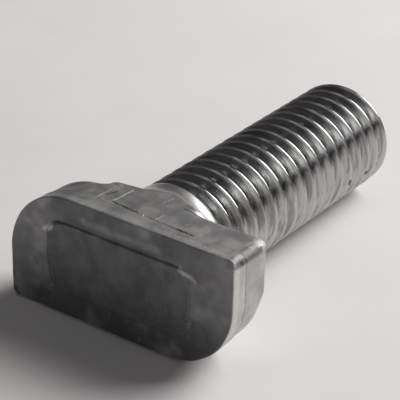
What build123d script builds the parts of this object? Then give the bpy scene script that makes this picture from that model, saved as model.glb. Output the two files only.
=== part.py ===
from build123d import *
import os
from math import radians, tan

# T-slot bolt: a hammer head, a square neck and a metric thread, forged and rolled as one piece.
# It lies along +X on its head's long side. The origin is on the bolt's axis, in the plane of the
# bearing face under the head. Lengths are in millimetres and angles in degrees.

# Hammer head, forged
head_length = 22.4  # along Y, across the slot once the bolt is turned
head_width = 10.9  # along Z, narrow enough to enter the slot
head_thickness = 4.4  # from the bearing face to the end face
swing_corner_radius = 6.4  # at the end face: the two corners that swing past the channel's walls
swing_corner_relief = 0.6  # how much larger their radius is behind the parting line
stop_corner_radius = 0.7  # the two corners that stop against them
parting_depth = 1.5  # from the end face to the line where the two dies met
parting_step = 0.03  # how far the head stands back at that line, towards the end face
punch_draft = 1.5  # slope of the head's sides between that line and the end face
end_edge_radius = 0.2
bearing_edge_radius = 0.3

# Marking pad, raised on the end face and left bare
pad_length = 14.2
pad_width = 6.2
pad_height = 0.2
pad_corner = 1.3
pad_slope = 60.0

# Square neck, flush with the head's long sides, with a turned cone that runs into the shank
neck_length = 10.9  # along Y
neck_height = 3.5  # from the bearing face to the thread
neck_swing_corner_radius = 2.2  # on the same diagonal as the head's swing corners
neck_stop_corner_radius = 1.7
neck_cone_angle = 37.0  # between the cone's side and the axis
neck_cone_start = 0.2  # from the bearing face to where the cone would begin, outside the neck's corners
neck_fillet_radius = 1.3  # where the cone runs into the shank
shoulder_step = 0.1  # how far the neck's end stands out over the thread's crests

# Metric coarse thread, right-handed
length_under_head = 30.0
thread_diameter = 9.96  # over the rolled crests
thread_pitch = 1.5
thread_depth = 0.92
crest_flat = 0.19
flank_angle = 30.0  # between a flank and the plane across the axis
ridge_start = 1.78  # the ridge begins inside the neck, so that its blunt end is covered
ridge_overlap = 0.12  # how deep the ridge is sunk in the core, to join it
tip_chamfer = 0.85  # ends just outside the root diameter

crest_radius = thread_diameter / 2
root_radius = crest_radius - thread_depth
parting_plane_depth = head_thickness - parting_depth

# Seen from the head's end: right is -Y, up is +Z, and the plane's normal points out of the end face
head_view = Plane(origin=(0, 0, 0), x_dir=(0, -1, 0), z_dir=(-1, 0, 0))


def draw_outline(sketch, length, width, swing_radius, stop_radius):
    """Rectangle whose upper left and lower right corners are rounded for the swing."""
    Rectangle(length, width)
    swing_corners = [corner for corner in sketch.vertices() if corner.X * corner.Y < 0]
    stop_corners = [corner for corner in sketch.vertices() if corner.X * corner.Y > 0]
    fillet(swing_corners, radius=swing_radius)
    fillet(stop_corners, radius=stop_radius)


with BuildPart() as thread:
    # Ridge, swept along a helix that runs on past the tip
    with BuildLine() as ridge_path:
        Helix(
            pitch=thread_pitch,
            height=length_under_head + thread_pitch - ridge_start,
            radius=root_radius,
            center=(ridge_start, 0, 0),
            direction=(1, 0, 0),
        )
    path_start = ridge_path.line @ 0
    outward = Vector(0, path_start.Y, path_start.Z).normalized()
    half_crest = crest_flat / 2
    half_foot = half_crest + (thread_depth + ridge_overlap) * tan(radians(flank_angle))
    with BuildSketch(Plane(path_start, x_dir=(1, 0, 0), z_dir=Vector(1, 0, 0).cross(outward))):
        with BuildLine():
            Polyline(
                (-half_foot, -ridge_overlap),
                (-half_crest, thread_depth),
                (half_crest, thread_depth),
                (half_foot, -ridge_overlap),
                close=True,
            )
        make_face()
    sweep(path=ridge_path.line, is_frenet=True)

    # Tip: the ridge is squared off at the full length and chamfered at 45 degrees
    chamfer_foot = length_under_head - tip_chamfer - thread_pitch
    tip_reach = length_under_head + 3 * thread_pitch
    with BuildSketch(Plane.XY):
        with BuildLine():
            Polyline(
                (chamfer_foot, crest_radius + thread_pitch),
                (length_under_head, crest_radius - tip_chamfer),
                (length_under_head, 0),
                (tip_reach, 0),
                (tip_reach, crest_radius + thread_pitch),
                close=True,
            )
        make_face()
    revolve(axis=Axis.X, mode=Mode.SUBTRACT)

    # Core, at the root diameter
    with BuildSketch(Plane.YZ):
        Circle(root_radius)
    extrude(amount=length_under_head)

with BuildPart() as t_bolt:
    # Head behind the parting line, with its bearing edge eased
    with BuildSketch(head_view) as die_outline:
        draw_outline(
            die_outline,
            length=head_length,
            width=head_width,
            swing_radius=swing_corner_radius + swing_corner_relief,
            stop_radius=stop_corner_radius,
        )
    extrude(amount=parting_plane_depth)
    bearing_edges = t_bolt.faces().sort_by(Axis.X)[-1].edges()
    fillet(bearing_edges, radius=bearing_edge_radius)

    # Head in front of the parting line, drafted towards the end face
    with BuildSketch(head_view.offset(parting_plane_depth)) as punch_outline:
        draw_outline(
            punch_outline,
            length=head_length - 2 * parting_step,
            width=head_width - 2 * parting_step,
            swing_radius=swing_corner_radius - parting_step,
            stop_radius=stop_corner_radius - parting_step,
        )
    extrude(amount=parting_depth, taper=punch_draft)
    end_edges = t_bolt.faces().sort_by(Axis.X)[0].edges()
    fillet(end_edges, radius=end_edge_radius)

    # Marking pad: a low plateau with cut corners and sloped sides
    with BuildSketch(head_view.offset(head_thickness)) as pad_outline:
        Rectangle(pad_length, pad_width)
        chamfer(pad_outline.vertices(), length=pad_corner)
    extrude(amount=pad_height, taper=pad_slope)

    # Neck: a rounded square bar, rooted in the head so that it covers the eased edge
    with BuildSketch(head_view.offset(bearing_edge_radius)) as neck_section:
        draw_outline(
            neck_section,
            length=neck_length,
            width=head_width,
            swing_radius=neck_swing_corner_radius,
            stop_radius=neck_stop_corner_radius,
        )
    extrude(amount=-(bearing_edge_radius + neck_height))

    # Turned cone and fillet that take the neck's corners down to the shank
    neck_reach = neck_length + head_width  # well beyond the neck's corners
    fillet_centre_radius = crest_radius + shoulder_step + neck_fillet_radius
    with BuildSketch(Plane.XY) as neck_cutter:
        with BuildLine():
            turned_arc = CenterArc(
                center=(neck_height, fillet_centre_radius),
                radius=neck_fillet_radius,
                start_angle=270 - neck_cone_angle,
                arc_size=neck_cone_angle,
            )
            cone_foot = turned_arc @ 0
            cone_rise = (cone_foot.X - neck_cone_start) * tan(radians(neck_cone_angle))
            Polyline(
                turned_arc @ 1,
                (neck_height, neck_reach),
                (neck_cone_start, neck_reach),
                (neck_cone_start, cone_foot.Y + cone_rise),
                cone_foot,
            )
        make_face()
    revolve(axis=Axis.X, mode=Mode.SUBTRACT)

    # Shank with its thread, seated in the neck
    add(thread.part)

t_bolt.part.label = "t_bolt"
os.makedirs("parts", exist_ok=True)
export_step(t_bolt.part, "parts/t_bolt.step")
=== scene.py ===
"""A T slot bolt: hammer head, square neck and rolled metric thread, forged from one bar of steel.

Run as a script in Blender. It is laid out as an add-on: the sizes and colours are properties, one
operator makes the bolt, one makes the stage, and a panel in the 3D view's sidebar lists them.
"""

import math

import bmesh
import bpy
import numpy as np
from mathutils import Matrix, Vector


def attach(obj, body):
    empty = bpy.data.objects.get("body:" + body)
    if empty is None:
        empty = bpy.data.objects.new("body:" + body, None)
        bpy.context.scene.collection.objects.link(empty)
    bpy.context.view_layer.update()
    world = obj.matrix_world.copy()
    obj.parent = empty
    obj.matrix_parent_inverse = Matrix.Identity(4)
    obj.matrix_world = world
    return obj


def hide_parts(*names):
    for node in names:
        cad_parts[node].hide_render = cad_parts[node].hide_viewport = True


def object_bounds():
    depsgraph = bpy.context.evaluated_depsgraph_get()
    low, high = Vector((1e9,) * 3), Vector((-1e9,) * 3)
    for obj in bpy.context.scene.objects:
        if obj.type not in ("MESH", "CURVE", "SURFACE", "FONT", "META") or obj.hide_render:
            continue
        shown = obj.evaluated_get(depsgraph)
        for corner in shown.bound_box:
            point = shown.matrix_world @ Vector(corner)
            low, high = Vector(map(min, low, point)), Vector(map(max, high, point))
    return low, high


bl_info = {
    "name": "T slot bolt",
    "version": (1, 0, 0),
    "blender": (4, 5, 0),
    "location": "3D View > Sidebar > Bolt",
    "description": "Makes a forged T slot bolt with a rolled thread, and a studio for it",
    "category": "Object",
}

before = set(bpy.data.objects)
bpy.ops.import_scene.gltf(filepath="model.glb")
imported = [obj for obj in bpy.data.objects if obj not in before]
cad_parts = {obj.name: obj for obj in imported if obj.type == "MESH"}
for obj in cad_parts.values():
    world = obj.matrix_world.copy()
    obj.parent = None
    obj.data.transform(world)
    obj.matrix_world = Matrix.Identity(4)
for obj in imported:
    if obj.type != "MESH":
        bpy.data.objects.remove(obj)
CAD_LOW, CAD_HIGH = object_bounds()
NODE = "t_bolt"
TURN = 2 * math.pi
MM = 0.001
FLOOR_GAP = 0.01 * MM
FEWEST_FACES = 1000
MERGE = 4e-7  # points nearer than this are made one, and edges shorter than the next are taken out
SHORTEST = 1e-7


# ---------------------------------------------------------------- settings


def length(name, description, default, low=0.0):
    """A length in metres that the sidebar shows in the scene's unit."""
    return bpy.props.FloatProperty(
        name=name, description=description, default=default, min=low, unit="LENGTH", precision=5
    )


def share(name, description, default):
    """A number from 0 to 1."""
    return bpy.props.FloatProperty(
        name=name, description=description, default=default, min=0.0, max=1.0, subtype="FACTOR"
    )


def colour(name, description, default):
    """A linear colour."""
    return bpy.props.FloatVectorProperty(
        name=name, description=description, default=default, size=3, min=0.0, max=1.0, subtype="COLOR"
    )


def angle(name, description, degrees):
    """An angle, given in degrees and kept in radians."""
    return bpy.props.FloatProperty(
        name=name, description=description, default=math.radians(degrees), subtype="ANGLE"
    )


def position(name, description, default):
    """A place in metres."""
    return bpy.props.FloatVectorProperty(
        name=name, description=description, default=default, size=3, unit="LENGTH"
    )


def glow(name, description, default):
    """How bright a lamp's face or the room is."""
    return bpy.props.FloatProperty(name=name, description=description, default=default, min=0.0)


class TBoltSizes(bpy.types.PropertyGroup):
    """Sizes of the bolt: those of its construction, but for the hollow that ends the neck."""

    head_length: length("Head length", "Across the slot once the bolt is turned", CAD_HIGH.y - CAD_LOW.y)
    head_width: length("Head width", "Narrow enough to enter the slot", CAD_HIGH.z - CAD_LOW.z)
    head_thickness: length("Head thickness", "From the bearing face to the end face", 0.0044)
    swing_corner: length("Swing corner", "Radius at the end face, on the corners that swing round", 0.0064)
    swing_relief: length("Swing relief", "How much larger that radius is at the bearing face", 0.0006)
    stop_corner: length("Stop corner", "Radius of the corners that stop in the channel", 0.0007)
    end_edge: length("End edge", "Radius round the end face", 0.00016)
    bearing_edge: length("Bearing edge", "Radius round the bearing face", 0.0003)
    swing_edge: length("Swing edge", "Radius round the bearing face at the swing corners", 0.0007)
    parting_depth: length("Parting depth", "From the end face to the line where the dies met", 0.0015)
    parting_step: length("Parting step", "How far the head stands back at that line", 0.00003)
    punch_draft: angle("Punch draft", "Taper of the short sides ahead of that line", 1.5)
    pad_length: length("Pad length", "Raised pad on the end face", 0.0142)
    pad_width: length("Pad width", "Raised pad on the end face", 0.0062)
    pad_height: length("Pad height", "Raised pad on the end face", 0.0002)
    pad_corner: length("Pad corner", "How much each corner of the pad is cut off", 0.0013)
    neck_height: length("Neck height", "From the bearing face to the thread", 0.0035)
    neck_corner: length("Neck corner", "Radius along the neck's corners that stop", 0.0017)
    neck_swing_corner: length("Neck swing corner", "Radius along the neck's other corners", 0.0022)
    neck_fillet: length("Neck fillet", "Radius of the hollow that ends the neck on its stop side", 0.0033)
    neck_turn: length("Neck turn", "Radius of the flatter hollow on its swing side", 0.0061)
    neck_step: length("Neck step", "Height of the neck's square part on its swing side", 0.00085)
    neck_edge: length("Neck edge", "Rounding where the flats meet the hollows", 0.00014)
    shoulder_step: length("Shoulder step", "How far the neck's end stands out over the crests", 0.00004)
    bolt_length: length("Length", "From the bearing face to the tip", CAD_HIGH.x)
    thread_diameter: length("Thread diameter", "Over the crests", 0.00996)
    thread_pitch: length("Thread pitch", "From one crest to the next", 0.0015, 0.0001)
    thread_depth: length("Thread depth", "From crest to root", 0.00092)
    crest_flat: length("Crest flat", "Width of the crest", 0.00019)
    crest_round: length("Crest rounding", "Between a crest and its flanks", 0.00012)
    root_round: length("Root rounding", "Between a root and its flanks", 0.0002)
    ridge_start: length("Ridge start", "Where a crest meets the bolt's upper side", 0.00178)
    tip_chamfer: length("Tip chamfer", "45 degree chamfer at the tip", 0.00085)
    columns: bpy.props.IntProperty(name="Columns", description="Facets round the bolt", default=252, min=48)


class TBoltFinish(bpy.types.PropertyGroup):
    """Colours and gloss of the steel."""

    rolled_steel: colour("Rolled steel", "The thread", (0.50, 0.495, 0.49))
    bright_steel: colour("Bright steel", "Where dies and rollers polished it", (0.60, 0.59, 0.58))
    dull_steel: colour("Dull steel", "Plain forged skin", (0.48, 0.47, 0.465))
    # Also the colour of painted highlights and painted light on edges, bands, the pad and the crests
    worn_and_highlight_steel: colour("Worn steel", "Laps, scuffs and edges that were rubbed bright", (0.74, 0.735, 0.72))
    # Also the colour of painted shade in the creases and on the swing side's top corner
    dark_film_and_shade: colour("Dark film", "Oil and oxide in hollows and scuffs", (0.17, 0.165, 0.16))
    end_scale: colour("End scale", "Dark skin of the end face", (0.172, 0.17, 0.177))
    roughness: share("Roughness", "Gloss of the forged skin", 0.50)
    thread_roughness: share("Thread roughness", "Gloss of the rolled thread", 0.185)


class TBoltStage(bpy.types.PropertyGroup):
    """Floor, lamps and camera."""

    floor_colour: colour("Floor", "Pale floor", (0.80, 0.775, 0.765))
    floor_slope: angle("Floor slope", "The bolt rests on its neck and tip", 0.99)
    floor_touch: length("Floor touch", "Where along the bolt the neck touches the floor", 0.00198)
    floor_reach: length("Floor reach", "From the middle of the floor to its edges", 0.9)
    azimuth: angle("Azimuth", "Camera, round the bolt", -54.91)
    elevation: angle("Elevation", "Camera, over the floor", 27.99)
    roll: angle("Roll", "Camera, round its line of sight", 1.52)
    distance: length("Distance", "From the camera to the point it aims at", 0.1456)
    aim: position("Aim", "Point the camera looks at", (0.00923, 0.00177, 0.000725))
    lamp_aim: position("Lamp aim", "Point the lamps face", (0.012, 0.0, 0.0))
    lens: bpy.props.FloatProperty(name="Lens", description="Focal length in millimetres", default=154.07)
    key: glow("Key lamp", "Brightness of its face", 9.2)
    overhead: glow("Overhead lamp", "Brightness of its face", 2.6)
    strip: glow("Strip lamp", "Brightness of its face", 1.3)
    sky: glow("Surroundings", "Brightness of the room", 0.05)


# ---------------------------------------------------------------- shapes


FLANK = math.radians(30)  # half the angle between two flanks
ROWS_BY_CREST = (0.025, 0.075, 0.13, 0.19, 0.27, 0.46, 0.62)  # distances in millimetres at a pitch of 1.5
NOISE_CELLS = 16  # after that many cells the noise repeats
PAD_SOFT = 0.0006  # how widely the pad's corners are rounded
PAD_TOP_GROW = -0.00004  # its upper outline lies inside the pad's size, and its foot outside
PAD_FOOT_GROW = 0.00014
PAD_FOOT_CUT = 0.0005
TIP_DROP = 0.00005  # how far the tip's flat falls from its rim, and its middle from there
TIP_HOLLOW = 0.0002
EDGE_BAND = 0.00013  # half the width of the rows that follow the neck's soft edge
SIDE_CURVE = 5300  # steepness, per metre, of the way up to the square part of the neck
RAISED_LINE = (  # where the dies met: millimetres behind the parting line, and inwards from the sides
    (-0.1, 0.024), (-0.04, 0.03), (0, 0.02), (0.05, -0.025), (0.12, -0.02), (0.22, 0),
)


def smooth_min(a, b, k):
    """The smaller of a and b, less k / 4 where they are equal, fading to nothing where they are k apart."""
    h = np.clip(k - np.abs(a - b), 0, None) / k
    return np.minimum(a, b) - h * h * k / 4


def smooth_step(t):
    """3t^2 - 2t^3 between 0 and 1."""
    t = np.clip(t, 0, 1)
    return t * t * (3 - 2 * t)


def value_noise(points, cell, seed):
    """Random values between -1 and 1 at the corners of cubes of that size, with smooth steps between."""
    table = np.random.RandomState(seed).uniform(-1, 1, (NOISE_CELLS,) * 3)
    q = points / cell
    whole = np.floor(q).astype(int)
    t = smooth_step(q - whole)
    total = np.zeros(points.shape[:-1])
    for dx in (0, 1):
        for dy in (0, 1):
            for dz in (0, 1):
                weight = (
                    (t[..., 0] if dx else 1 - t[..., 0])
                    * (t[..., 1] if dy else 1 - t[..., 1])
                    * (t[..., 2] if dz else 1 - t[..., 2])
                )
                corner = (whole + (dx, dy, dz)) % NOISE_CELLS
                total += weight * table[corner[..., 0], corner[..., 1], corner[..., 2]]
    return total


def neck_radius(p, theta):
    """Distance from the axis to a rounded square.

    It is half / cos on the sides, and m (c + s) + the root of corner^2 - m^2 (c - s)^2 on a corner's arc,
    which is centred m from each axis. The corners are rounder where y and z have the same sign.
    """
    half = p.head_width / 2
    corner = np.where(np.sin(2 * theta) > 0, p.neck_swing_corner, p.neck_corner)
    c, s = np.abs(np.cos(theta)), np.abs(np.sin(theta))
    m = half - corner
    on_side = half / np.maximum(c, s)
    on_arc = m * (c + s) + np.sqrt(np.clip(corner**2 - m**2 * (c - s) ** 2, 0, None))
    return np.where(on_side * np.minimum(c, s) <= m, on_side, on_arc)


def swing_radius(p, x):
    """Radius of the head's swing corners at that height.

    It grows slowly from the end face, quickly over the parting line and slowly again to the bearing face.
    """
    part_x = p.parting_depth - p.head_thickness
    knots = (-p.head_thickness, part_x, part_x + 0.0006, -p.bearing_edge)
    shares = (0.05, 0.35, 0.75, 1.0)
    return p.swing_corner + p.swing_relief * np.interp(x, knots, shares)


def head_outline(p, theta, x):
    """Where each column meets the head's outline at that height, with the outward normal there.

    Over the neck's flats a column stays at y = half / tan(theta). Past them it runs round the head's end:
    stop corner, short side, then swing corner. Its rate is part length and part turn, so that both corners
    get their share.
    """
    half = p.head_width / 2
    flat = half - p.neck_swing_corner
    edge = math.atan2(half, flat)
    y_end = p.head_length / 2
    r_stop, r_swing = p.stop_corner, swing_radius(p, x)
    t = np.linspace(0, 1, 200)
    a, b = np.radians(-90 + 90 * t), np.radians(90 * t)

    def line(v, w):
        return v + (w - v) * t

    y = np.concatenate((
        line(flat, y_end - r_stop), y_end - r_stop + r_stop * np.cos(a), y_end + 0 * t,
        y_end - r_swing + r_swing * np.cos(b), line(y_end - r_swing, flat),
    ))
    z = np.concatenate((
        -half + 0 * t, -half + r_stop + r_stop * np.sin(a), line(-half + r_stop, half - r_swing),
        half - r_swing + r_swing * np.sin(b), half + 0 * t,
    ))
    turned = np.concatenate((-90 + 0 * t, np.degrees(a), 0 * t, np.degrees(b), 90 + 0 * t))
    run = np.concatenate(([0], np.cumsum(np.hypot(np.diff(y), np.diff(z)))))
    by_length, by_turn, by_count = 0.68, 0.32, 1e-9
    rate = by_length * run / run[-1] + by_turn * (turned + 90) / 180 + by_count * np.arange(len(run))

    flipped = np.cos(theta) < 0
    folded = (theta - np.where(flipped, math.pi, 0) + math.pi) % TURN - math.pi
    v = (folded + edge) / (2 * edge)
    sign = np.where(flipped, -1.0, 1.0)
    end_y, end_z = np.interp(v, rate, y) * sign, np.interp(v, rate, z) * sign
    end_n = np.radians(np.interp(v, rate, turned))
    flush = np.abs(folded) > edge
    up = np.sign(np.sin(theta))
    flat_y = half / np.where(flush, np.tan(theta) * up, 1)
    point = np.stack((np.where(flush, flat_y, end_y), np.where(flush, half * up, end_z)), 1)
    normal_y = np.where(flush, 0, np.cos(end_n) * sign)
    normal_z = np.where(flush, up, np.sin(end_n) * sign)
    normal = np.stack((normal_y, normal_z), 1)
    return point, normal, flush


def pad_outline(p, direction, grow, grow_cut):
    """The pad's outline, grown by that much: in each direction the nearest of its sides and cut corners."""
    c, s = np.abs(np.cos(direction)), np.abs(np.sin(direction))
    half_y, half_z = p.pad_length / 2 + grow, p.pad_width / 2 + grow
    cut = (p.pad_length / 2 + p.pad_width / 2 - p.pad_corner) + grow_cut * math.sqrt(2)
    to_short, to_long = half_y / np.maximum(c, 1e-6), half_z / np.maximum(s, 1e-6)
    r = smooth_min(smooth_min(to_short, to_long, PAD_SOFT), cut / (c + s), PAD_SOFT)
    return np.stack((r * np.cos(direction), r * np.sin(direction)), 1)


def thread_radius(p, offset):
    """Radius at that distance from a crest's middle: crest, flanks and root, with soft corners."""
    crest = p.thread_diameter / 2
    offset = (offset + p.thread_pitch / 2) % p.thread_pitch - p.thread_pitch / 2
    flank = crest + (p.crest_flat / 2 - np.abs(offset)) / math.tan(FLANK)
    root = crest - p.thread_depth
    return -smooth_min(-smooth_min(crest, flank, p.crest_round), -root, p.root_round)


def ring_rows(x, outline):
    """One row of points for each x, all with that outline."""
    x = np.atleast_1d(x)
    rows = np.empty((len(x), len(outline), 3))
    rows[..., 0] = x[:, None]
    rows[..., 1:] = outline[None]
    return rows


def turned_radius(p, x, theta):
    """Radius that the neck is cut down to on its way to the shank.

    On the stop side it is a quarter of a circle. On the swing side it is a flatter circle, with a steep
    parabola up to the square part. Round the axis they fade into each other, by the angle from the middle of
    the swing corners.
    """
    shank = p.thread_diameter / 2 + p.shoulder_step
    left = np.clip(p.neck_height - x, 0, p.neck_fillet)
    stop_side = shank + p.neck_fillet - np.sqrt(p.neck_fillet**2 - left**2)
    swing_side = shank + (p.neck_height - x) ** 2 / (2 * p.neck_turn)
    swing_side = swing_side + SIDE_CURVE * np.clip(p.neck_step - x, 0, None) ** 2
    from_swing = np.abs((np.degrees(theta) + 45) % 180 - 90)
    fade_from, fade_over = 42, 18
    return swing_side + (stop_side - swing_side) * smooth_step((from_swing - fade_from) / fade_over)


def head_and_neck(p, theta):
    """Rows of points from the end face's middle to the thread's start.

    In order they are the pad, the end face, the side, the bearing face, the neck and the hollows that end it.
    """
    half = p.head_width / 2
    end_x = -p.head_thickness
    point, normal, flush = head_outline(p, theta, end_x)
    share_y, share_z = p.pad_length / p.head_length, p.pad_width / p.head_width
    direction = np.arctan2(point[:, 1] * share_z, point[:, 0] * share_y)
    rows = []

    # Pad, from the middle out, its slope, and the end face round it. Two waves keep its outline uneven
    pad_x = end_x - p.pad_height
    uneven = 0.00005 * np.sin(7 * direction + 1)[:, None] + 0.00004 * np.sin(19 * direction + 2)[:, None]
    waves_at_top, waves_at_foot = 80, 60
    top = pad_outline(p, direction, PAD_TOP_GROW, 0) * (1 + waves_at_top * uneven)
    foot = pad_outline(p, direction, PAD_FOOT_GROW, PAD_FOOT_CUT) * (1 + waves_at_foot * uneven)
    for k in np.linspace(0.1, 0.98, 10):
        rows.append(ring_rows(pad_x, top * k))
    for t in (0.0, 0.15, 0.35, 0.65, 0.85, 1.0):
        rows.append(ring_rows(pad_x + p.pad_height * smooth_step(t), top * (1 - t) + foot * t))
    draft = math.tan(p.punch_draft)
    end_inset = p.parting_step + p.parting_depth * draft
    ease = (0.3 + 0.7 * smooth_step((np.abs(normal[:, 0]) - 0.8) / 0.15))[:, None]
    rim = point - normal * (end_inset * ease + p.end_edge)
    for t in np.linspace(0.08, 0.98, 12):
        rows.append(ring_rows(end_x, foot * (1 - t) + rim * t))

    # Side of the head, as x, rounding and draft, carried round the outline. Short sides have the full draft
    side = []
    for a in np.radians(np.linspace(0, 90, 6)):
        side.append((end_x + p.end_edge * (1 - math.cos(a)), p.end_edge * (1 - math.sin(a)), end_inset))
    part_x = end_x + p.parting_depth
    for t in (0.15, 0.3, 0.45, 0.6, 0.75, 0.88):
        x = end_x + p.end_edge + (p.parting_depth - p.end_edge) * t
        side.append((x, 0, end_inset - (x - end_x) * draft))
    side += [(part_x + x * MM, 0, inset * MM) for x, inset in RAISED_LINE]
    behind = part_x + RAISED_LINE[-1][0] * MM
    last_x = -p.swing_edge
    for t in (0.12, 0.25, 0.4, 0.55, 0.7, 0.85, 1.0):
        side.append((behind + (last_x - behind) * t, 0, 0))
    for x, rounding, inset in side:
        point, normal, flush = head_outline(p, theta, x)
        rows.append(ring_rows(x, point - normal * (rounding + inset * ease)))

    # Bearing edge and bearing face. Over the neck's flats these rows lie side by side on the flat instead
    point, normal, flush = head_outline(p, theta, -p.bearing_edge)
    r_neck = neck_radius(p, theta)
    root = np.stack((r_neck * np.cos(theta), r_neck * np.sin(theta)), 1)
    flat = half - p.neck_swing_corner
    swing = smooth_step((np.abs(point[:, 0]) - flat - 0.0005) / 0.002) * (point[:, 0] * normal[:, 1] > 0)
    swing *= smooth_step((np.abs(normal[:, 1]) - 0.1) / 0.3) * ~flush
    edge = p.bearing_edge + (p.swing_edge - p.bearing_edge) * swing
    eased = smooth_step((np.abs(point[:, 0]) - flat) / 0.002) * ~flush * edge
    spread = np.where(flush, 0.04 + 0.96 * smooth_step((flat - np.abs(point[:, 0])) / 0.0008), 0)
    edge_share = 0.36
    for t in np.linspace(0, 1, 15)[1:]:
        if t < edge_share:
            a = t / edge_share * math.pi / 2
            x = np.minimum(last_x + (p.swing_edge - edge) * t / 0.15, -edge * (1 - np.sin(a)))
            outline = point - normal * (eased * (1 - np.cos(a)))[:, None]
        else:
            s = (t - edge_share) / (1 - edge_share)
            x = np.zeros_like(theta)
            outline = (point - normal * eased[:, None]) * (1 - s) + root * s
        x = x * (1 - spread) + (last_x + (p.bearing_edge - last_x) * t) * spread
        rows.append(np.concatenate((x[:, None], outline), 1)[None])

    # Neck, the soft edge where it is cut down, and the way down to the shank
    grid = np.linspace(-0.001, p.neck_height, 900)
    outside = turned_radius(p, grid[:, None], theta[None]) > r_neck[None]
    crossing = grid[outside.sum(0) - 1]
    start = p.bearing_edge * spread
    before, after = crossing - EDGE_BAND, crossing + EDGE_BAND
    cut = after + 0.25 * np.clip(p.neck_height - after, 0, 0.0012)
    steps = ((start, before, 9), (before, after, 8), (after, cut, 6), (cut, p.neck_height, 10))
    for begin, end, count in steps:
        for t in np.linspace(0, 1, count)[1:]:
            x = begin + (end - begin) * t
            r = smooth_min(r_neck, turned_radius(p, x, theta), p.neck_edge)
            rows.append(np.stack((x, r * np.cos(theta), r * np.sin(theta)), 1)[None])
    return np.concatenate(rows)


def forged_skin(rows):
    """Moves each point along its normal by a slow and a finer noise, as a forging is never quite flat."""
    around = np.roll(rows, -1, 1) - np.roll(rows, 1, 1)
    along = np.gradient(rows, axis=0)
    normal = np.cross(around, along)
    normal /= np.linalg.norm(normal, axis=-1, keepdims=True) + 1e-12
    slow, fine = value_noise(rows, 0.0026, 3), value_noise(rows, 0.0007, 8)
    depth = 0.000022 * slow + 0.000009 * fine - 0.00002
    skin_end, fade_over = 0.0030, 0.0008
    fade = smooth_step((skin_end - rows[..., 0]) / fade_over)
    return rows + normal * (depth * fade)[..., None]


def thread_rows(p, theta):
    """Rows that follow the helix.

    Row and angle give x = start + pitch times turns, and the row's place on the profile gives the radius.
    Rows are held at the thread's start and at the tip, and the tip's cone trims the radius.
    """
    offsets = np.array(ROWS_BY_CREST) * MM * (p.thread_pitch / 0.0015)
    offsets = np.concatenate((-offsets[::-1], offsets))
    first = -2
    last = int(p.bolt_length / p.thread_pitch) + 2
    crests = (np.arange(first, last)[:, None] * p.thread_pitch + offsets[None]).ravel()
    helix = p.ridge_start + p.thread_pitch * (theta - math.pi / 2) / TURN
    x = np.clip(crests[:, None] + helix[None], p.neck_height, p.bolt_length)
    r = thread_radius(p, x - helix[None])
    cone = p.thread_diameter / 2 + (p.bolt_length - p.tip_chamfer - x)
    r = np.minimum(r, cone)
    keep = (x.min(1) < p.bolt_length) & (x.max(1) > p.neck_height)
    keep[:-1] |= keep[1:]
    keep[1:] |= keep[:-1]
    x, r = x[keep], r[keep]
    return np.stack((x, r * np.cos(theta)[None], r * np.sin(theta)[None]), -1)


def tip_rows(p, theta, r_end):
    """Rings from the end of the thread to the middle of the tip, which rolling leaves a little hollow."""
    rows = []
    inner = (p.thread_diameter / 2 - p.thread_depth) * 0.93
    for t in np.linspace(0, 1, 4):
        r = r_end * (1 - t) + inner * t
        x = p.bolt_length - TIP_DROP * t * t
        rows.append(np.stack((x + 0 * theta, r * np.cos(theta), r * np.sin(theta)), 1)[None])
    for t in (0.85, 0.7, 0.55, 0.4, 0.25, 0.1):
        r = inner * t + 0 * theta
        x = p.bolt_length - TIP_DROP - TIP_HOLLOW * smooth_step(1 - t) + 0 * theta
        rows.append(np.stack((x, r * np.cos(theta), r * np.sin(theta)), 1)[None])
    return np.concatenate(rows)


def grid_faces(rows, columns, closed, offset):
    """Quads of a grid, row by row. They face outwards where rows run along +X and columns from +Y to +Z."""
    i = np.arange(rows - 1)[:, None] * columns
    j = np.arange(columns if closed else columns - 1)[None]
    k = (j + 1) % columns
    return np.stack((i + j, i + k, i + columns + k, i + columns + j), -1).reshape(-1, 4) + offset


def bolt_mesh(p):
    """The whole bolt as one closed mesh: rings up to the thread, the helical rows, and the tip's rings."""
    n = p.columns
    theta = TURN * np.arange(n) / n
    theta_closed = TURN * np.arange(n + 1) / n
    head = forged_skin(head_and_neck(p, theta))
    helix = p.ridge_start + p.thread_pitch * (theta - math.pi / 2) / TURN
    r_start = thread_radius(p, p.neck_height - helix)
    ledge = np.stack((p.neck_height + 0 * theta, r_start * np.cos(theta), r_start * np.sin(theta)), 1)[None]
    head = np.concatenate((head, ledge))
    thread = thread_rows(p, theta_closed)
    r_end = np.minimum(thread_radius(p, p.bolt_length - helix), p.thread_diameter / 2 - p.tip_chamfer)
    tip = tip_rows(p, theta, r_end)

    parts, faces, count = [], [], 0
    for block, closed in ((head, True), (thread, False), (tip, True)):
        parts.append(block.reshape(-1, 3))
        faces.append(grid_faces(block.shape[0], block.shape[1], closed, count))
        count += len(parts[-1])
    poles = np.array([[head[0, :, 0].mean(), 0, 0], [tip[-1, :, 0].mean() - 0.00001, 0, 0]])
    points = np.concatenate((*parts, poles))
    j = np.arange(n)
    k = (j + 1) % n
    first_cap = np.stack((k, j, np.full(n, count)), 1)
    last_row = count - n
    last_cap = np.stack((last_row + j, last_row + k, np.full(n, count + 1)), 1)
    return points, np.concatenate(faces), np.concatenate((first_cap, last_cap))


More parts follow.
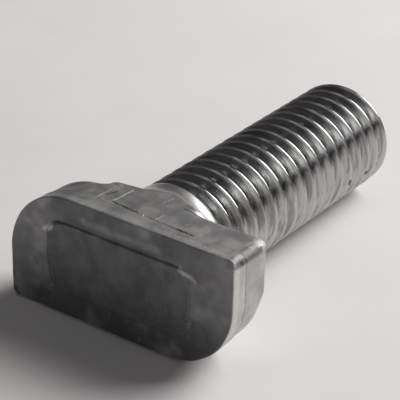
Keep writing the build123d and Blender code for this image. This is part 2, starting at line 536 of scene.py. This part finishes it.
def new_piece(name, points, quads, triangles):
    """A mesh object at the origin from arrays of points and faces, its seams merged, shaded smooth."""
    mesh = bpy.data.meshes.new(name)
    corners = np.concatenate((quads.ravel(), triangles.ravel())).astype(np.int32)
    sizes = np.concatenate((np.full(len(quads), 4), np.full(len(triangles), 3))).astype(np.int32)
    mesh.vertices.add(len(points))
    mesh.vertices.foreach_set("co", points.astype(np.float32).ravel())
    mesh.loops.add(len(corners))
    mesh.loops.foreach_set("vertex_index", corners)
    mesh.polygons.add(len(sizes))
    mesh.polygons.foreach_set("loop_start", np.concatenate(([0], np.cumsum(sizes)[:-1])).astype(np.int32))
    mesh.update(calc_edges=True)
    mesh.validate()
    bm = bmesh.new()
    bm.from_mesh(mesh)
    bmesh.ops.remove_doubles(bm, verts=bm.verts, dist=MERGE)
    bmesh.ops.dissolve_degenerate(bm, edges=bm.edges, dist=SHORTEST)
    bm.to_mesh(mesh)
    bm.free()
    mesh.polygons.foreach_set("use_smooth", np.ones(len(mesh.polygons), bool))
    piece = bpy.data.objects.new(name, mesh)
    bpy.context.scene.collection.objects.link(piece)
    return piece


# ---------------------------------------------------------------- materials


def opaque(value, dim=1.0):
    """A colour of three numbers as four, made darker or lighter by that factor. A socket stays as it is."""
    if isinstance(value, bpy.types.NodeSocket):
        return value
    return (*[c * dim for c in value[:3]], 1)


class Nodes:
    """Adds nodes to a material or world and links them by socket."""

    def __init__(self, owner):
        owner.use_nodes = True
        self.tree = owner.node_tree
        self.tree.nodes.clear()

    def add(self, kind, inputs=None, **settings):
        node = self.tree.nodes.new(kind)
        for key, value in settings.items():
            setattr(node, key, value)
        for key, value in (inputs or {}).items():
            if isinstance(value, bpy.types.NodeSocket):
                self.tree.links.new(value, node.inputs[key])
            else:
                node.inputs[key].default_value = value
        return node

    def math(self, operation, a, b=0.0, c=0.0, clamp=False):
        return self.add("ShaderNodeMath", {0: a, 1: b, 2: c}, operation=operation, use_clamp=clamp).outputs[0]

    def ramp(self, value, low, high, to_low=0.0, to_high=1.0):
        """Smooth step of a value from low..high to to_low..to_high."""
        return self.add(
            "ShaderNodeMapRange",
            {"Value": value, "From Min": low, "From Max": high, "To Min": to_low, "To Max": to_high},
            interpolation_type="SMOOTHSTEP",
        ).outputs["Result"]

    def noise(self, vector, scale, detail=3.0, roughness=0.5):
        return self.add(
            "ShaderNodeTexNoise",
            {"Vector": vector, "Scale": scale, "Detail": detail, "Roughness": roughness},
        ).outputs["Fac"]

    def stretched(self, vector, scale, turn=(0, 0, 0)):
        """The place turned by those angles, then stretched, so that noise on it turns into streaks."""
        inputs = {"Vector": vector, "Scale": scale, "Rotation": turn}
        return self.add("ShaderNodeMapping", inputs).outputs["Vector"]

    def stroke(self, place, start, end, width):
        """1 on the line between two points in millimetres, fading to 0 at that distance from it."""
        start, end = Vector(start) * MM, Vector(end) * MM
        span = end - start
        after = self.add("ShaderNodeVectorMath", {0: place, 1: start}, operation="SUBTRACT").outputs[0]
        along = self.add(
            "ShaderNodeVectorMath", {0: after, 1: span / span.length_squared}, operation="DOT_PRODUCT"
        ).outputs["Value"]
        along = self.math("MULTIPLY", along, 1.0, clamp=True)
        nearest = self.add("ShaderNodeVectorMath", {0: span, "Scale": along}, operation="SCALE").outputs[0]
        gap = self.add("ShaderNodeVectorMath", {0: after, 1: nearest}, operation="DISTANCE").outputs["Value"]
        return self.ramp(gap, width * MM, 0.25 * width * MM)

    def strokes(self, place, lines):
        """The strongest of several strokes: each line is start, end, width and strength."""
        total = 0.0
        for start, end, width, strength in lines:
            mark = self.stroke(place, start, end, width)
            total = self.math("MAXIMUM", total, self.math("MULTIPLY", mark, strength))
        return total

    def mix_colour(self, factor, a, b):
        """Blend from a to b. A colour may be a socket or three numbers."""
        inputs = {0: factor, 6: opaque(a), 7: opaque(b)}
        return self.add("ShaderNodeMix", inputs, data_type="RGBA").outputs[2]


# Marks of forging and handling, and painted highlights and shade, as lines on the bolt's surface: start, end,
# width and strength. They are in millimetres. TOP is the height of the upper side, and END the place of the
# pad along the bolt
TOP = 5.45
END = -4.6
LAPS_AND_HIGHLIGHTS = (  # thin laps, raised and rubbed bright; a stretch of the parting line and spots along the stop corner, raised, with painted highlights where their edges catch the light
    ((-2.5, 3.5, TOP), (-0.7, 3.4, TOP), 0.16, 0.9),
    ((-2.3, 2.1, TOP), (0.0, 1.9, TOP), 0.18, 1.0),
    ((-0.1, -1.3, TOP), (2.3, -1.6, TOP - 0.2), 0.12, 0.7),
    ((-2.1, -4.9, TOP), (-0.4, -5.3, TOP), 0.10, 0.5),
    ((-2.7, -2.4, TOP), (-1.6, -2.5, TOP), 0.14, 0.6),
    ((-2.9, -1.25, TOP), (-2.8, -1.2, TOP), 0.16, 1.0),
    ((-2.9, -5.5, TOP), (-2.8, -5.6, TOP), 0.14, 0.7),
    ((-2.6, 1.8, TOP), (-2.4, 0.6, TOP), 0.30, 0.55),
    ((-3.4, 7.0, TOP), (-2.8, 3.6, TOP), 0.34, 0.4),
    ((-2.7, 2.9, TOP), (-2.6, 2.2, TOP), 0.22, 0.6),
    ((0.6, 2.6, TOP), (1.4, 1.6, TOP), 0.30, 0.25),
    ((-3.1, -11.2, 4.9), (-3.05, -11.2, -0.2), 0.16, 1.4),
    ((-3.05, -11.2, -0.2), (-3.05, -10.0, -3.4), 0.16, 1.2),
    ((-2.4, -11.1, 5.25), (-1.9, -11.1, 5.25), 0.22, 1.2),
    ((-1.1, -11.1, 5.25), (-0.6, -11.1, 5.25), 0.20, 1.0),
    ((-4.2, -11.1, 5.2), (-4.0, -11.1, 5.1), 0.26, 1.0),
)
SHADED_CREASES = (  # narrow hollows along the line where the dies met, and beside the laps, painted dark as shade
    ((-2.5, 1.9, TOP), (-2.8, -1.1, TOP), 0.15, 0.8),
    ((-2.82, -1.4, TOP), (-3.1, -6.3, TOP), 0.14, 1.0),
    ((-1.8, 3.1, TOP), (-0.9, 2.8, TOP), 0.22, 0.6),
    ((-3.6, -11.15, 5.0), (-3.3, -11.15, 4.8), 0.22, 0.7),
)
PAD_HIGHLIGHTS = (  # painted highlights on the pad's two upper corners, its upper edge and the face over it, which tilt up to the light
    ((END, 7.5, 1.9), (END, 6.7, 2.5), 0.42, 0.9),
    ((END, -6.2, 3.2), (END, -7.5, 2.4), 0.34, 1.0),
    ((END, -7.45, 2.7), (END, -7.55, 2.2), 0.26, 0.9),
    ((END, 3.4, 3.9), (END, -3.8, 3.85), 0.55, 0.28),
    ((END, 6.0, 3.12), (END, -6.2, 3.2), 0.14, 0.14),
    ((END, 3.9, 3.15), (END, 1.6, 3.15), 0.18, 0.3),
    ((END, -2.2, 3.2), (END, -3.6, 3.2), 0.16, 0.22),
)
NICKS = (  # dents on the crests, with dirt in them
    ((13.1, -5.0, 0.3), (13.2, -5.0, -0.3), 0.28, 1.0),
    ((23.1, -4.9, -1.0), (23.2, -4.8, -1.3), 0.26, 0.9),
    ((25.8, -4.7, -1.7), (26.1, -4.8, -1.3), 0.28, 1.0),
    ((27.7, -4.9, -1.0), (27.8, -4.8, -1.3), 0.18, 0.7),
)


def steel(finish, sizes):
    """Forged skin on the head and neck, dark scale on the end face, and glossy rolled steel on the thread."""
    material = bpy.data.materials.new("forged_and_rolled_steel")
    n = Nodes(material)
    place = n.add("ShaderNodeTexCoord").outputs["Object"]
    axes = n.add("ShaderNodeSeparateXYZ", {0: place})
    x, y, z = axes.outputs
    rolled = n.ramp(x, sizes.neck_height - 0.0002, sizes.neck_height + 0.0002)
    abs_y, abs_z = n.math("ABSOLUTE", y), n.math("ABSOLUTE", z)
    half_y, half_z = sizes.head_length / 2, sizes.head_width / 2

    # Where each kind of surface is: the neck's hollows, the thread with its helix, and the end face
    turned = n.ramp(n.math("MAXIMUM", abs_y, abs_z), half_z - 0.00002, half_z - 0.00008)
    turned = n.math("MULTIPLY", turned, n.ramp(x, 0.0003, 0.0008))
    turns = n.math("DIVIDE", n.math("ARCTAN2", z, y), TURN)
    phase = n.math("MULTIPLY_ADD", x, 1 / sizes.thread_pitch, 0.75 - sizes.ridge_start / sizes.thread_pitch)
    phase = n.math("SUBTRACT", n.math("FRACT", n.math("SUBTRACT", phase, turns)), 0.5)
    from_crest = n.math("MULTIPLY", phase, sizes.thread_pitch)
    from_axis = n.math("SQRT", n.math("MULTIPLY_ADD", y, y, n.math("MULTIPLY", z, z)))
    root_radius = sizes.thread_diameter / 2 - sizes.thread_depth
    on_thread = n.math("MULTIPLY", rolled, n.ramp(from_axis, root_radius - 0.0003, root_radius - 0.0001))
    end_x = -sizes.head_thickness
    end_face = n.ramp(x, end_x + 0.00008, end_x + 0.00001)

    # Noise, from broad to fine, and lines bent by it
    broad = n.noise(place, 170.0, 3.0, 0.5)
    blotch = n.noise(place, 520.0, 5.0, 0.6)
    grain = n.noise(place, 4200.0, 3.0, 0.6)
    wander = n.add("ShaderNodeTexNoise", {"Vector": place, "Scale": 1500.0, "Detail": 2.0}).outputs["Color"]
    shift = n.add("ShaderNodeVectorMath", {0: wander, 1: (-0.5, -0.5, -0.5)}, operation="ADD").outputs[0]
    reach = (0.4 * MM,) * 3  # how far the noise bends a line
    bent = n.add("ShaderNodeVectorMath", {0: shift, 1: reach, 2: place}, operation="MULTIPLY_ADD").outputs[0]
    laps_and_highlights, shaded_creases = n.strokes(bent, LAPS_AND_HIGHLIGHTS), n.strokes(bent, SHADED_CREASES)
    pad_highlights, nicks = n.strokes(bent, PAD_HIGHLIGHTS), n.strokes(bent, NICKS)
    laps_and_highlights = n.math("MULTIPLY", laps_and_highlights, n.ramp(blotch, 0.3, 0.5, 0.35, 1.0))
    shaded_creases = n.math("MULTIPLY", shaded_creases, n.ramp(blotch, 0.62, 0.5, 0.3, 1.0))
    scuff_a = n.noise(n.stretched(place, (300, 3200, 300), (0.4, 0.2, 0.5)), 1.0, 4.0, 0.6)
    scuff_b = n.noise(n.stretched(place, (260, 260, 3000), (0.7, 0.1, 0.3)), 1.0, 4.0, 0.6)
    scuffs = n.math("MULTIPLY", n.ramp(scuff_a, 0.54, 0.72), n.ramp(scuff_b, 0.42, 0.66))

    # Forged skin: dull, with brighter wear, painted light on the rough band beside the end face, painted
    # shade on the swing side, and painted light on the short sides' front zone
    skin = n.mix_colour(n.ramp(blotch, 0.40, 0.60), finish.dull_steel, finish.bright_steel)
    # Painted shade: the random dark film is made stronger on the swing side's rounded top corner, which turns
    # away from the light
    swing_side = n.math("MULTIPLY", n.ramp(y, 0.003, 0.006), n.ramp(z, 0.004, 0.005))
    film = n.math("MULTIPLY", n.ramp(broad, 0.45, 0.58), n.math("MULTIPLY_ADD", swing_side, 0.5, 0.22))
    skin = n.mix_colour(film, skin, finish.dark_film_and_shade)
    # Painted light: the rough band beside the end face is lightened where it catches the lamp
    strip = n.math("MULTIPLY", n.ramp(x, -0.0035, -0.0039), n.ramp(grain, 0.36, 0.6, 0.4, 1.0))
    skin = n.mix_colour(n.math("MULTIPLY", strip, 0.8), skin, finish.worn_and_highlight_steel)
    skin = n.mix_colour(n.math("MULTIPLY", turned, 0.7), skin, finish.bright_steel)
    # Painted light: the short sides' front zone ahead of the parting line is lightened where its draft turns
    # it to the lamp
    punched_zone_light = n.math("MULTIPLY", n.ramp(abs_y, half_y - 0.0012, half_y - 0.0003), n.ramp(x, -0.0030, -0.0032))
    skin = n.mix_colour(n.math("MULTIPLY", punched_zone_light, 0.3), skin, finish.worn_and_highlight_steel)
    skin = n.mix_colour(n.math("MULTIPLY", scuffs, 0.5), skin, finish.worn_and_highlight_steel)
    # Laps rubbed bright, and painted highlights on the parting line and the stop corner
    skin = n.mix_colour(laps_and_highlights, skin, finish.worn_and_highlight_steel)
    corner = n.ramp(abs_y, half_y - 0.0011, half_y - 0.0006)
    corner = n.math("MULTIPLY", corner, n.ramp(abs_z, half_z - 0.00105, half_z - 0.00055))
    dull_corner = n.math("MULTIPLY", corner, n.ramp(blotch, 0.40, 0.56, 0.85, 0.1))
    skin = n.mix_colour(dull_corner, skin, finish.dark_film_and_shade)

    # End face: dark scale, with painted shade growing towards the floor, faint scratches, painted light on
    # its ends and painted highlights on the pad
    scale = n.mix_colour(n.ramp(blotch, 0.34, 0.68), finish.end_scale, opaque(finish.end_scale, 1.5))
    # Painted shade: the scale is darkened towards the floor
    low = n.math("MULTIPLY_ADD", broad, 0.004, z)
    scale = n.mix_colour(n.ramp(low, 0.004, -0.002, 0.0, 0.55), scale, opaque(finish.end_scale, 0.5))
    # Faint scratches rubbed bright, and painted light on the face's two ends, in its upper part, where they
    # turn to the side
    rubbed = n.math("MULTIPLY", scuffs, 0.3)
    left_light, right_light = n.ramp(y, 0.0078, 0.0105, 0.0, 0.30), n.ramp(y, -0.0080, -0.0108, 0.0, 0.22)
    side_light = n.math("MAXIMUM", left_light, right_light)
    rubbed = n.math("MAXIMUM", rubbed, n.math("MULTIPLY", side_light, n.ramp(low, -0.003, 0.003)))
    scale = n.mix_colour(rubbed, scale, finish.dull_steel)
    # Painted highlights on the pad's corners and upper edge, and a lighter band over it
    pad_highlights = n.math("MULTIPLY", pad_highlights, n.ramp(blotch, 0.3, 0.5, 0.5, 1.0))
    scale = n.mix_colour(pad_highlights, scale, finish.worn_and_highlight_steel)
    skin = n.mix_colour(end_face, skin, scale)

    # Rolled thread: fine lines round it, darker roots, a painted highlight along one edge of each crest, and
    # dirty nicks
    rings = n.noise(n.stretched(place, (5200, 260, 260)), 1.0, 3.0, 0.6)
    thread = n.mix_colour(n.ramp(rings, 0.46, 0.60, 0.0, 0.6), finish.rolled_steel, finish.dark_film_and_shade)
    flank_foot, root_edge, highlight_at = 0.00045, 0.0006, 0.00012  # along the bolt, from a crest's middle
    root = n.math("MULTIPLY", n.ramp(n.math("ABSOLUTE", from_crest), flank_foot, root_edge), on_thread)
    # The thread's roots are darkened in patches
    dark_roots = n.math("MULTIPLY", root, n.ramp(blotch, 0.3, 0.6, 0.45, 0.85))
    thread = n.mix_colour(dark_roots, thread, finish.dark_film_and_shade)
    # Painted highlight: one edge of each crest is made bright and rough, as the crests catch the light
    off_edge = n.math("ABSOLUTE", n.math("ADD", from_crest, highlight_at))
    crest_highlight = n.math("MULTIPLY", n.ramp(off_edge, 0.00008, 0.00003), n.ramp(blotch, 0.35, 0.5, 0.4, 1.0))
    crest_highlight = n.math("MULTIPLY", crest_highlight, on_thread)
    thread = n.mix_colour(crest_highlight, thread, finish.worn_and_highlight_steel)
    thread = n.mix_colour(nicks, thread, opaque(finish.dark_film_and_shade, 0.3))
    base = n.mix_colour(rolled, skin, thread)
    # Painted shade: the creases are darkened where their steps fall in shadow
    base = n.mix_colour(shaded_creases, base, opaque(finish.dark_film_and_shade, 0.35))

    # Gloss, each part's own: dull on the end face and corners, glossier in the hollows
    rough_skin = n.math("MULTIPLY_ADD", blotch, 0.16, finish.roughness - 0.08)
    rough_skin = n.math("MULTIPLY_ADD", end_face, 0.16, rough_skin)
    rough_skin = n.math("MULTIPLY_ADD", corner, 0.2, rough_skin)
    rough_skin = n.math("MULTIPLY_ADD", turned, -0.12, rough_skin)
    rough_thread = n.math("MULTIPLY_ADD", rings, 0.12, finish.thread_roughness - 0.06)
    rough_thread = n.math("MULTIPLY_ADD", crest_highlight, 0.35, rough_thread)
    rough_skin = n.math("MULTIPLY", rough_skin, n.math("SUBTRACT", 1.0, rolled))
    rough = n.math("MULTIPLY_ADD", rough_thread, rolled, rough_skin)

    # Shallow relief: laps and painted highlight strokes stand up, creases, scuffs and nicks are sunk, and the
    # skin has a grain
    marks = n.math("SUBTRACT", n.math("MULTIPLY", laps_and_highlights, 1.6), n.math("MULTIPLY", shaded_creases, 2.2))
    marks = n.math("MULTIPLY_ADD", scuffs, -0.4, marks)
    height = n.math("MULTIPLY_ADD", n.math("SUBTRACT", 1.0, rolled), n.math("MULTIPLY", grain, 0.45), marks)
    height = n.math("MULTIPLY_ADD", n.math("MULTIPLY", rings, rolled), 0.10, height)
    height = n.math("MULTIPLY_ADD", nicks, -2.0, height)

    # Lines of rolling run round the thread, so its highlights are drawn out along the bolt
    bump = n.add("ShaderNodeBump", {"Strength": 0.4, "Distance": 0.00003, "Height": height})
    shader = n.add(
        "ShaderNodeBsdfPrincipled",
        {
            "Base Color": base,
            "Metallic": 1.0,
            "Roughness": rough,
            "Anisotropic": n.math("MULTIPLY", on_thread, 0.9),
            "Tangent": n.add("ShaderNodeCombineXYZ", {0: 1.0}).outputs[0],
            "Normal": bump.outputs["Normal"],
        },
    )
    n.add("ShaderNodeOutputMaterial", {"Surface": shader.outputs["BSDF"]})
    return material


def floor_material(stage):
    """Plain pale board with a trace of unevenness."""
    material = bpy.data.materials.new("pale_floor")
    n = Nodes(material)
    place = n.add("ShaderNodeTexCoord").outputs["Object"]
    cloud = n.noise(place, 70.0, 4.0, 0.6)
    base = n.mix_colour(n.ramp(cloud, 0.3, 0.7), stage.floor_colour, opaque(stage.floor_colour, 0.965))
    settings = {"Base Color": base, "Roughness": 0.85, "Specular IOR Level": 0.15}
    shader = n.add("ShaderNodeBsdfPrincipled", settings)
    n.add("ShaderNodeOutputMaterial", {"Surface": shader.outputs["BSDF"]})
    return material


# ---------------------------------------------------------------- operators


class OBJECT_OT_t_slot_bolt(bpy.types.Operator):
    """Make the bolt from its sizes, in forged and rolled steel"""

    bl_idname = "object.make_t_slot_bolt"
    bl_label = "Make the bolt"

    def execute(self, context):
        sizes, finish = context.scene.t_bolt_sizes, context.scene.t_bolt_finish
        piece = new_piece("forged_t_bolt", *bolt_mesh(sizes))
        if len(piece.data.polygons) < FEWEST_FACES:
            raise RuntimeError("the bolt's mesh is empty")
        piece.data.materials.append(steel(finish, sizes))
        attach(piece, "root")
        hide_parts(NODE)
        return {"FINISHED"}


def soft_lamp(name, direction, distance, width, height, brightness, target):
    """A square-on soft lamp: its power is pi times its area times the brightness of its face."""
    data = bpy.data.lights.new(name, "AREA")
    data.shape = "RECTANGLE"
    data.size, data.size_y = width, height
    data.energy = math.pi * width * height * brightness
    lamp = bpy.data.objects.new(name, data)
    direction = Vector(direction).normalized()
    lamp.location = target + direction * distance
    lamp.rotation_euler = direction.to_track_quat("Z", "Y").to_euler()
    lamp.visible_camera = False
    bpy.context.scene.collection.objects.link(lamp)


class OBJECT_OT_t_bolt_stage(bpy.types.Operator):
    """Make the floor, the lamps, the surroundings and the camera"""

    bl_idname = "object.make_t_bolt_stage"
    bl_label = "Make the stage"

    def execute(self, context):
        stage, sizes = context.scene.t_bolt_stage, context.scene.t_bolt_sizes

        # Floor: it touches the neck's lower flat where the hollow starts, and the thread's crests at the tip
        slope = math.tan(stage.floor_slope)
        level = -sizes.head_width / 2 - FLOOR_GAP
        reach = np.array((-stage.floor_reach, stage.floor_reach))
        gx, gy = np.meshgrid(reach, reach, indexing="ij")
        points = np.stack((gx, gy, level + slope * (gx - stage.floor_touch)), -1).reshape(-1, 3)
        mesh = bpy.data.meshes.new("floor")
        mesh.from_pydata(points.tolist(), [], [(0, 2, 3, 1)])
        mesh.update()
        floor = bpy.data.objects.new("floor", mesh)
        context.scene.collection.objects.link(floor)
        floor.data.materials.append(floor_material(stage))

        # Lamps and surroundings
        target = Vector(stage.lamp_aim)
        soft_lamp("key_lamp", (0.63, -0.39, 0.67), 0.40, 0.30, 0.24, stage.key, target)
        soft_lamp("overhead_lamp", (-0.10, 0.20, 0.97), 0.40, 0.09, 0.08, stage.overhead, target)
        soft_lamp("strip_lamp", (-0.95, -0.19, 0.21), 0.45, 0.50, 0.08, stage.strip, target)

        world = bpy.data.worlds.new("room")
        context.scene.world = world
        n = Nodes(world)
        room = n.add("ShaderNodeBackground", {"Color": (1, 1, 1, 1), "Strength": stage.sky})
        n.add("ShaderNodeOutputWorld", {"Surface": room.outputs[0]})

        # Camera
        a, e, roll = stage.azimuth, stage.elevation, stage.roll
        behind = Vector((math.sin(a) * math.cos(e), -math.cos(a) * math.cos(e), math.sin(e)))
        right = Vector((0, 0, 1)).cross(behind).normalized()
        up = behind.cross(right)
        rolled_right = right * math.cos(roll) + up * math.sin(roll)
        rolled_up = up * math.cos(roll) - right * math.sin(roll)
        data = bpy.data.cameras.new("camera")
        data.sensor_width = 36.0
        data.lens = stage.lens
        data.clip_start, data.clip_end = 0.005, 5.0
        camera = bpy.data.objects.new("camera", data)
        turned = Matrix((rolled_right, rolled_up, behind)).transposed().to_4x4()
        camera.matrix_world = Matrix.Translation(Vector(stage.aim) + behind * stage.distance) @ turned
        context.scene.collection.objects.link(camera)
        context.scene.camera = camera
        context.scene.view_settings.view_transform = "Standard"
        return {"FINISHED"}


class VIEW3D_PT_t_slot_bolt(bpy.types.Panel):
    """Sidebar panel with the sizes, the finish and the buttons"""

    bl_label = "T slot bolt"
    bl_idname = "VIEW3D_PT_t_slot_bolt"
    bl_space_type = "VIEW_3D"
    bl_region_type = "UI"
    bl_category = "Bolt"

    def draw(self, context):
        layout, scene = self.layout, context.scene
        for group in (scene.t_bolt_sizes, scene.t_bolt_finish, scene.t_bolt_stage):
            box = layout.box()
            for name in group.__annotations__:
                box.prop(group, name)
        layout.operator(OBJECT_OT_t_slot_bolt.bl_idname)
        layout.operator(OBJECT_OT_t_bolt_stage.bl_idname)


CLASSES = (
    TBoltSizes, TBoltFinish, TBoltStage, OBJECT_OT_t_slot_bolt, OBJECT_OT_t_bolt_stage, VIEW3D_PT_t_slot_bolt,
)


def register():
    """Register the classes and hang the settings on the scene."""
    for cls in CLASSES:
        bpy.utils.register_class(cls)
    bpy.types.Scene.t_bolt_sizes = bpy.props.PointerProperty(type=TBoltSizes)
    bpy.types.Scene.t_bolt_finish = bpy.props.PointerProperty(type=TBoltFinish)
    bpy.types.Scene.t_bolt_stage = bpy.props.PointerProperty(type=TBoltStage)


def unregister():
    """Undo register."""
    del bpy.types.Scene.t_bolt_sizes
    del bpy.types.Scene.t_bolt_finish
    del bpy.types.Scene.t_bolt_stage
    for cls in reversed(CLASSES):
        bpy.utils.unregister_class(cls)


def main():
    """Make the bolt and its stage."""
    register()
    bpy.ops.object.make_t_slot_bolt()
    bpy.ops.object.make_t_bolt_stage()


if __name__ == "__main__":
    main()
